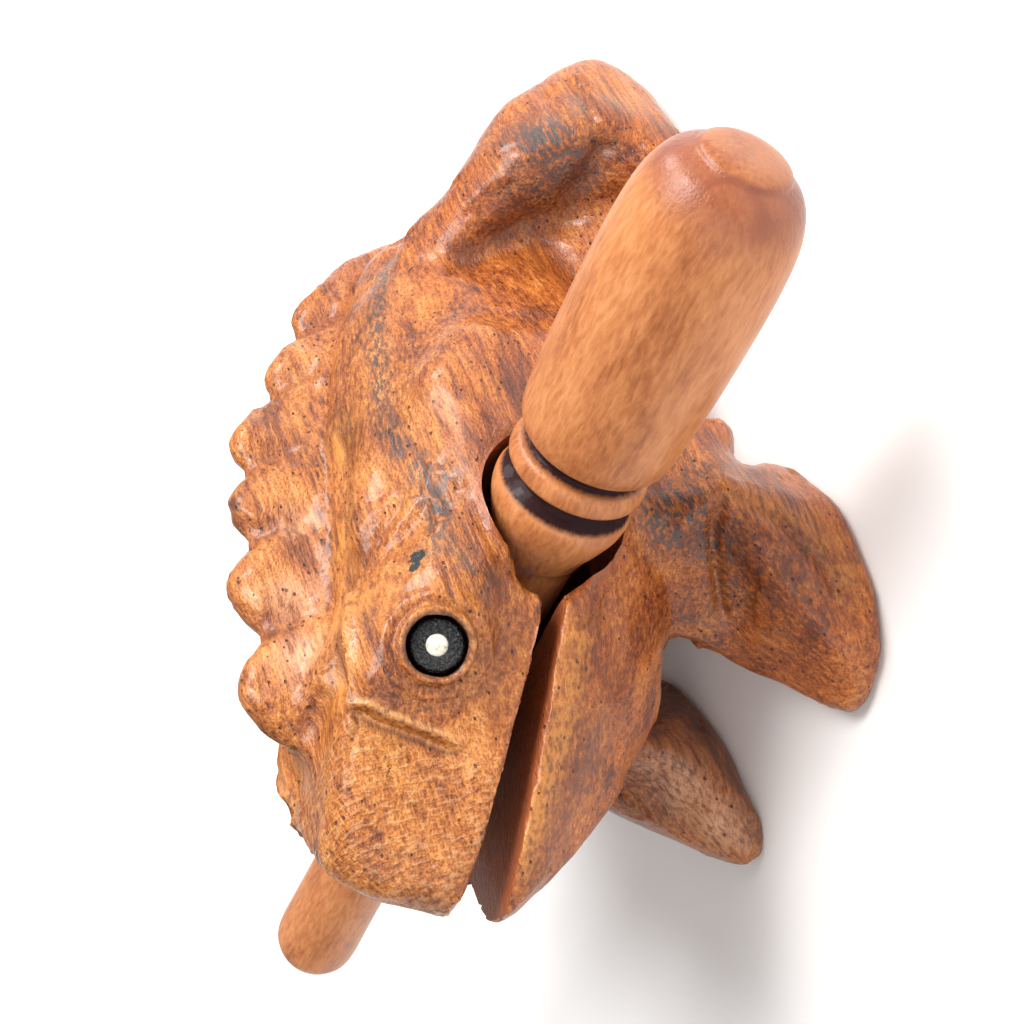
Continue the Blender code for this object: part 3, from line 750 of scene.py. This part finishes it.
def turned(name, outline, steps):
    """A solid turned about its own Z from (distance along Z, radius) points, top to bottom."""
    mesh = bpy.data.meshes.new(name)
    points = [(radius * MM, 0.0, along * MM) for along, radius in outline]
    mesh.from_pydata(points, [(k, k + 1) for k in range(len(points) - 1)], [])
    draft = add_object(name + "_draft", mesh)
    lathe = draft.modifiers.new("lathe", "SCREW")
    lathe.axis = "Z"
    lathe.steps = steps
    lathe.render_steps = steps
    lathe.use_merge_vertices = True
    lathe.merge_threshold = LATHE_WELD * MM
    solid = baked(draft)
    bpy.data.objects.remove(draft)
    solid.name = name
    solid.shade_smooth()
    return add_object(name, solid)


def make_striker():
    outline = smooth_outline(STRIKER_OUTLINE, OUTLINE_STEPS)
    striker = turned("striker_turning", outline, STRIKER_STEPS)
    axis = Vector(frame["joints"][0]["axis"])
    striker.matrix_world = (
        Matrix.Translation(CARVER_ORIGIN + Vector((0.0, 0.0, STRIKER_HEIGHT * MM)))
        @ axis.to_track_quat("Z", "Y").to_matrix().to_4x4()
    )
    along = np.empty(3 * len(striker.data.vertices))
    striker.data.vertices.foreach_get("co", along)
    along = along.reshape(-1, 3)[:, 2] / MM
    burnt = [bell(along - place, width) for place, width in BURNT_GROOVES]
    store(striker.data, "burnt", np.maximum(*burnt))
    face = 1.0 - END_FACE_FADE * step(along, *END_FACE)
    store(striker.data, "end", step(along, *END_STAIN) * face)
    return striker


def eye_place(node, side):
    """An eye's face, with local +Z looking out of the head."""
    facing = Vector((side * EYE_FACING[0], EYE_FACING[1], EYE_FACING[2])).normalized()
    face = middle(node) + facing * 0.5 * EYE_THICKNESS * MM
    return Matrix.Translation(face) @ facing.to_track_quat("Z", "Y").to_matrix().to_4x4()


def make_disc(name, node, side, outline, steps):
    """A disc turned from (radius, height) points and set in an eye's face."""
    disc = turned(name, smooth_outline([(z, r) for r, z in outline], EYE_CURVE_STEPS), steps)
    disc.matrix_world = eye_place(node, side)
    return disc


def make_eye(name, node, side):
    return make_disc(name, node, side, EYE_OUTLINE, EYE_STEPS)


def make_dot(name, node, side):
    return make_disc(name, node, side, DOT_OUTLINE, DOT_STEPS)


# ---- materials ---------------------------------------------------------------------------------------

class Paint:
    """Builds one material's nodes."""

    def __init__(self, name, roughness):
        self.material = bpy.data.materials.new(name)
        self.material.use_nodes = True
        self.tree = self.material.node_tree
        self.shader = self.tree.nodes["Principled BSDF"]
        self.shader.inputs["Roughness"].default_value = roughness
        self.place = self.tree.nodes.new("ShaderNodeTexCoord").outputs["Object"]

    def put(self, value, socket):
        if isinstance(value, bpy.types.NodeSocket):
            self.tree.links.new(value, socket)
        elif isinstance(value, tuple) and len(value) == 3 and socket.type == "RGBA":
            socket.default_value = (*value, 1.0)
        else:
            socket.default_value = value

    def stretched(self, scales):
        """Object coordinates counted in millimetres over each scale."""
        node = self.tree.nodes.new("ShaderNodeMapping")
        self.put(self.place, node.inputs["Vector"])
        node.inputs["Scale"].default_value = [1.0 / (MM * size) for size in scales]
        return node.outputs["Vector"]

    def noise(self, scales, detail=3.0, distortion=0.0):
        node = self.tree.nodes.new("ShaderNodeTexNoise")
        self.put(self.stretched(scales), node.inputs["Vector"])
        node.inputs["Scale"].default_value = 1.0
        node.inputs["Detail"].default_value = detail
        node.inputs["Distortion"].default_value = distortion
        return node.outputs["Fac"]

    def cells(self, scales):
        """(distance to the nearest cell's point, that cell's own random number)."""
        node = self.tree.nodes.new("ShaderNodeTexVoronoi")
        self.put(self.stretched(scales), node.inputs["Vector"])
        node.inputs["Scale"].default_value = 1.0
        apart = self.tree.nodes.new("ShaderNodeSeparateColor")
        self.put(node.outputs["Color"], apart.inputs["Color"])
        return node.outputs["Distance"], apart.outputs["Red"]

    def attribute(self, name):
        node = self.tree.nodes.new("ShaderNodeAttribute")
        node.attribute_name = name
        return node.outputs["Fac"]

    def math(self, operation, first, second):
        node = self.tree.nodes.new("ShaderNodeMath")
        node.operation = operation
        node.use_clamp = operation != "SUBTRACT"
        self.put(first, node.inputs[0])
        self.put(second, node.inputs[1])
        return node.outputs["Value"]

    def times(self, first, second):
        return self.math("MULTIPLY", first, second)

    def plus(self, first, second):
        return self.math("ADD", first, second)

    def between(self, value, low, high, out_low=0.0, out_high=1.0):
        node = self.tree.nodes.new("ShaderNodeMapRange")
        node.interpolation_type = "SMOOTHSTEP"
        self.put(value, node.inputs["Value"])
        ends = {"From Min": low, "From Max": high, "To Min": out_low, "To Max": out_high}
        for socket, number in ends.items():
            node.inputs[socket].default_value = number
        return node.outputs["Result"]

    def ramp(self, value, stops):
        node = self.tree.nodes.new("ShaderNodeValToRGB")
        self.put(value, node.inputs["Fac"])
        elements = node.color_ramp.elements
        while len(elements) < len(stops):
            elements.new(0.5)
        for element, (position, colour) in zip(elements, stops):
            element.position = position
            element.color = (*colour, 1.0)
        return node.outputs["Color"]

    def mix(self, amount, first, second, blend="MIX"):
        node = self.tree.nodes.new("ShaderNodeMix")
        node.data_type = "RGBA"
        node.blend_type = blend
        self.put(amount, node.inputs["Factor"])
        self.put(first, node.inputs[6])
        self.put(second, node.inputs[7])
        return node.outputs[2]

    def bump(self, height, depth, under=None):
        """Bumps of a depth in millimetres, over another bump."""
        node = self.tree.nodes.new("ShaderNodeBump")
        node.inputs["Distance"].default_value = depth * MM
        self.put(height, node.inputs["Height"])
        if under is not None:
            self.put(under, node.inputs["Normal"])
        return node.outputs["Normal"]

    def bumps(self, *layers):
        """Bumps on bumps, each (height, depth in millimetres)."""
        normal = None
        for height, depth in layers:
            normal = self.bump(height, depth, normal)
        return normal

    def finish(self, colour, roughness=None, normal=None, coat=0.0, coat_roughness=0.2):
        self.put(colour, self.shader.inputs["Base Color"])
        if roughness is not None:
            self.put(roughness, self.shader.inputs["Roughness"])
        if normal is not None:
            self.put(normal, self.shader.inputs["Normal"])
        self.shader.inputs["Coat Weight"].default_value = coat
        self.shader.inputs["Coat Roughness"].default_value = coat_roughness
        return self.material


def wood_tone(paint, broad, textures):
    """The wood's own colour along its grain, with fine specks, and painted shade that makes it darker and
    redder low down.
    """
    tone = paint.plus(paint.times(broad, 0.40), paint.times(textures["grain"], 0.38))
    tone = paint.plus(tone, paint.times(textures["fleck"], 0.22))
    colour = paint.ramp(tone, WOOD_TONES)
    # Painted shade low down.
    colour = paint.mix(paint.attribute("low"), colour, LOW_SHADE_TINT, "MULTIPLY")
    speck = paint.between(textures["fine"], 0.36, 0.56, 1.0, 0.0)
    return paint.mix(speck, colour, SPECK_TINT, "MULTIPLY")


def wood_patches(paint, colour, textures):
    """Golden, pale and reddened patches, and worn edges, with painted light and shade among them: a lit band
    on the jaw, a lit right foot, shade on the front legs and in the crest's cuts, shadow on the feet's inner
    side and highlights along the step, brow ridge and lower lip.
    """
    for name, texture, limits, strength, tint in WOOD_PATCHES:
        amount = paint.times(paint.attribute(name), paint.between(textures[texture], *limits))
        colour = paint.mix(paint.times(amount, strength), colour, tint)
    return colour


def wood_stains_and_shade(paint, colour, fleck):
    """Grey stain with some painted shadow, painted shade in hollows, the browner inside and a few black
    blotches.
    """
    # Grey stain, and painted shadow on the inner side of the feet.
    stain = paint.times(paint.attribute("stain"), 1.25)
    stain = paint.times(stain, paint.between(fleck, 0.43, 0.57, 1.0, 0.2))
    colour = paint.mix(stain, colour, STAIN_AND_SHADOW_GREY)
    # Painted shade in hollows.
    colour = paint.mix(paint.times(paint.attribute("dark"), 0.85), colour, HOLLOW_SHADE_BROWN)
    colour = paint.mix(paint.attribute("inside"), colour, INSIDE_BROWN)
    blotch = paint.between(paint.times(paint.attribute("blotch"), fleck), 0.17, 0.23)
    return paint.mix(blotch, colour, BLOTCH_BLACK)


def wood_pores(paint):
    """Open pores, more of them on the crest."""
    near, lot = paint.cells((0.75, 1.2, 0.75))
    chance = paint.plus(paint.times(paint.attribute("crest"), 0.14), lot)
    return paint.times(paint.between(near, 0.12, 0.22, 1.0, 0.0), paint.between(chance, 0.72, 0.76))


def wood_dashes(paint):
    """Short dark dashes along the grain."""
    near, lot = paint.cells((0.35, 2.2, 0.35))
    return paint.times(paint.between(near, 0.10, 0.24, 1.0, 0.0), paint.between(lot, 0.60, 0.66))


def stained_wood():
    """Orange-brown stained wood: long grain, pores, rasp marks, painted shade in hollows, and edges made
    lighter, partly as wear and partly as painted highlight.
    """
    paint = Paint("stained_wood_carved", 0.4)
    broad = paint.noise((4.5, 11.0, 4.5), detail=2.0, distortion=0.3)
    grain = paint.noise((0.5, 11.0, 0.5), detail=3.0, distortion=0.1)
    fleck = paint.noise((0.42, 1.9, 0.42), detail=4.0, distortion=0.12)
    fine = paint.noise((0.20, 0.40, 0.20), detail=2.0)
    ridge = paint.noise((1.5, 0.36, 1.5), detail=2.0, distortion=0.05)
    textures = {"grain": grain, "fleck": fleck, "fine": fine}
    colour = wood_patches(paint, wood_tone(paint, broad, textures), textures)
    colour = wood_stains_and_shade(paint, colour, fleck)
    pore = wood_pores(paint)
    colour = paint.mix(paint.times(pore, 0.9), colour, PORE_BROWN)
    colour = paint.mix(paint.times(wood_dashes(paint), 0.4), colour, DASH_BROWN)
    combed = paint.times(paint.attribute("rasp"), paint.between(ridge, 0.52, 0.64))
    colour = paint.mix(paint.times(combed, 0.3), colour, COMBED_WOOD)
    rasped = paint.times(paint.attribute("rasp"), ridge)
    open_pores = paint.math("SUBTRACT", 1.0, pore)
    normal = paint.bumps((grain, 0.17), (fleck, 0.17), (fine, 0.13), (rasped, 0.34), (open_pores, 0.25))
    paint.shader.inputs["Specular IOR Level"].default_value = 0.38
    rough = paint.between(fleck, 0.3, 0.7, 0.30, 0.50)
    return paint.finish(colour, rough, normal, coat=0.28, coat_roughness=0.15)


def turned_wood():
    """Pinkish-tan turned wood, mottled, with flecks along it and dark stain in the grooves."""
    paint = Paint("pale_wood_turned", 0.4)
    broad = paint.noise((6.0, 6.0, 12.0), detail=3.0, distortion=0.8)
    fleck = paint.noise((0.45, 0.45, 1.7), detail=4.0, distortion=0.3)
    fine = paint.noise((0.2, 0.2, 0.7), detail=2.0)
    tone = paint.plus(paint.times(broad, 0.55), paint.times(fleck, 0.45))
    colour = paint.ramp(tone, TURNED_TONES)
    end = paint.times(paint.attribute("end"), paint.between(broad, 0.35, 0.6, 0.6, 1.0))
    colour = paint.mix(end, colour, END_BROWN)
    burnt = paint.plus(paint.attribute("burnt"), paint.times(fleck, 0.3))
    burnt = paint.between(burnt, 0.5, 0.85)
    colour = paint.mix(burnt, colour, BURNT_BLACK)
    rough = paint.plus(paint.between(fleck, 0.3, 0.7, 0.30, 0.44), paint.times(burnt, 0.25))
    gloss = paint.between(burnt, 0.0, 1.0, 0.35, 0.08)
    paint.put(gloss, paint.shader.inputs["Specular IOR Level"])
    normal = paint.bumps((fleck, 0.05), (fine, 0.05))
    return paint.finish(colour, rough, normal, coat=0.08, coat_roughness=0.12)


def eye_black():
    """Black lacquer, glossy but pitted, with a few blue-grey flecks."""
    paint = Paint("black_lacquer_pitted", 0.25)
    speck = paint.noise((0.35, 0.35, 0.35), detail=4.0, distortion=0.5)
    colour = paint.ramp(speck, LACQUER_TONES)
    rough = paint.between(speck, 0.4, 0.7, 0.12, 0.40)
    paint.shader.inputs["Specular IOR Level"].default_value = 0.4
    return paint.finish(colour, rough, paint.bump(speck, 0.36), coat=0.2, coat_roughness=0.08)


def eye_white():
    """Off-white paint, mottled with yellowish grey."""
    paint = Paint("white_paint_dabbed", 0.45)
    mottle = paint.noise((0.4, 0.4, 0.4), detail=3.0)
    return paint.finish(paint.ramp(mottle, WHITE_TONES), None, paint.bump(mottle, 0.06))


def floor_grey():
    paint = Paint("pale_floor", 0.8)
    faint = paint.noise((400.0, 400.0, 400.0), detail=2.0)
    return paint.finish(paint.ramp(faint, FLOOR_TONES))


# ---- stage -------------------------------------------------------------------------------------------

def make_floor():
    bpy.ops.mesh.primitive_plane_add(size=FLOOR_SIZE, location=(0.0, 0.0, 0.0))
    floor = bpy.context.object
    floor.name = "floor"
    floor.data.materials.append(floor_grey())


def make_camera():
    data = bpy.data.cameras.new("camera")
    data.lens = CAMERA_LENS
    data.sensor_width = SENSOR_WIDTH
    data.clip_start = NEAREST_SEEN
    camera = bpy.data.objects.new("camera", data)
    bpy.context.scene.collection.objects.link(camera)
    back = Vector(CAMERA_BACK).normalized()
    right = Vector(CAMERA_UP).cross(back).normalized()
    upward = back.cross(right)
    turn = Matrix((right, upward, back)).transposed()
    camera.matrix_world = Matrix.Translation(CAMERA_PLACE) @ turn.to_4x4()
    bpy.context.scene.camera = camera


def add_light(name, place, size, watts, colour):
    data = bpy.data.lights.new(name, "AREA")
    data.size = size
    data.energy = watts
    data.color = colour
    light = bpy.data.objects.new(name, data)
    bpy.context.scene.collection.objects.link(light)
    light.location = place
    aim = Vector(LIGHTS_AIM) - Vector(place)
    light.rotation_mode = "QUATERNION"
    light.rotation_quaternion = aim.to_track_quat("-Z", "Y")


def make_lights():
    for light in LIGHTS:
        add_light(*light)
    world = bpy.data.worlds.new("studio")
    world.use_nodes = True
    world.node_tree.nodes["Background"].inputs["Color"].default_value = (1.0, 1.0, 1.0, 1.0)
    world.node_tree.nodes["Background"].inputs["Strength"].default_value = WORLD_STRENGTH
    bpy.context.scene.world = world
    bpy.context.scene.view_settings.view_transform = "Standard"


# ---- the whole ---------------------------------------------------------------------------------------

def place_piece(piece, material, body, node):
    piece.data.materials.clear()
    piece.data.materials.append(material)
    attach(piece, body)
    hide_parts(node)


make_camera()
wood, pale, black, white = stained_wood(), turned_wood(), eye_black(), eye_white()
place_piece(make_body(), wood, "frog", "frog_body")
place_piece(make_striker(), pale, "striker", "striker_stick")
for word, side in (("left", 1), ("right", -1)):
    eye, dot = "eye_" + word, "eye_dot_" + word
    place_piece(make_eye("eye_disc_" + word, eye, side), black, "frog", eye)
    place_piece(make_dot("eye_spot_" + word, eye, side), white, "frog", dot)
make_floor()
make_lights()
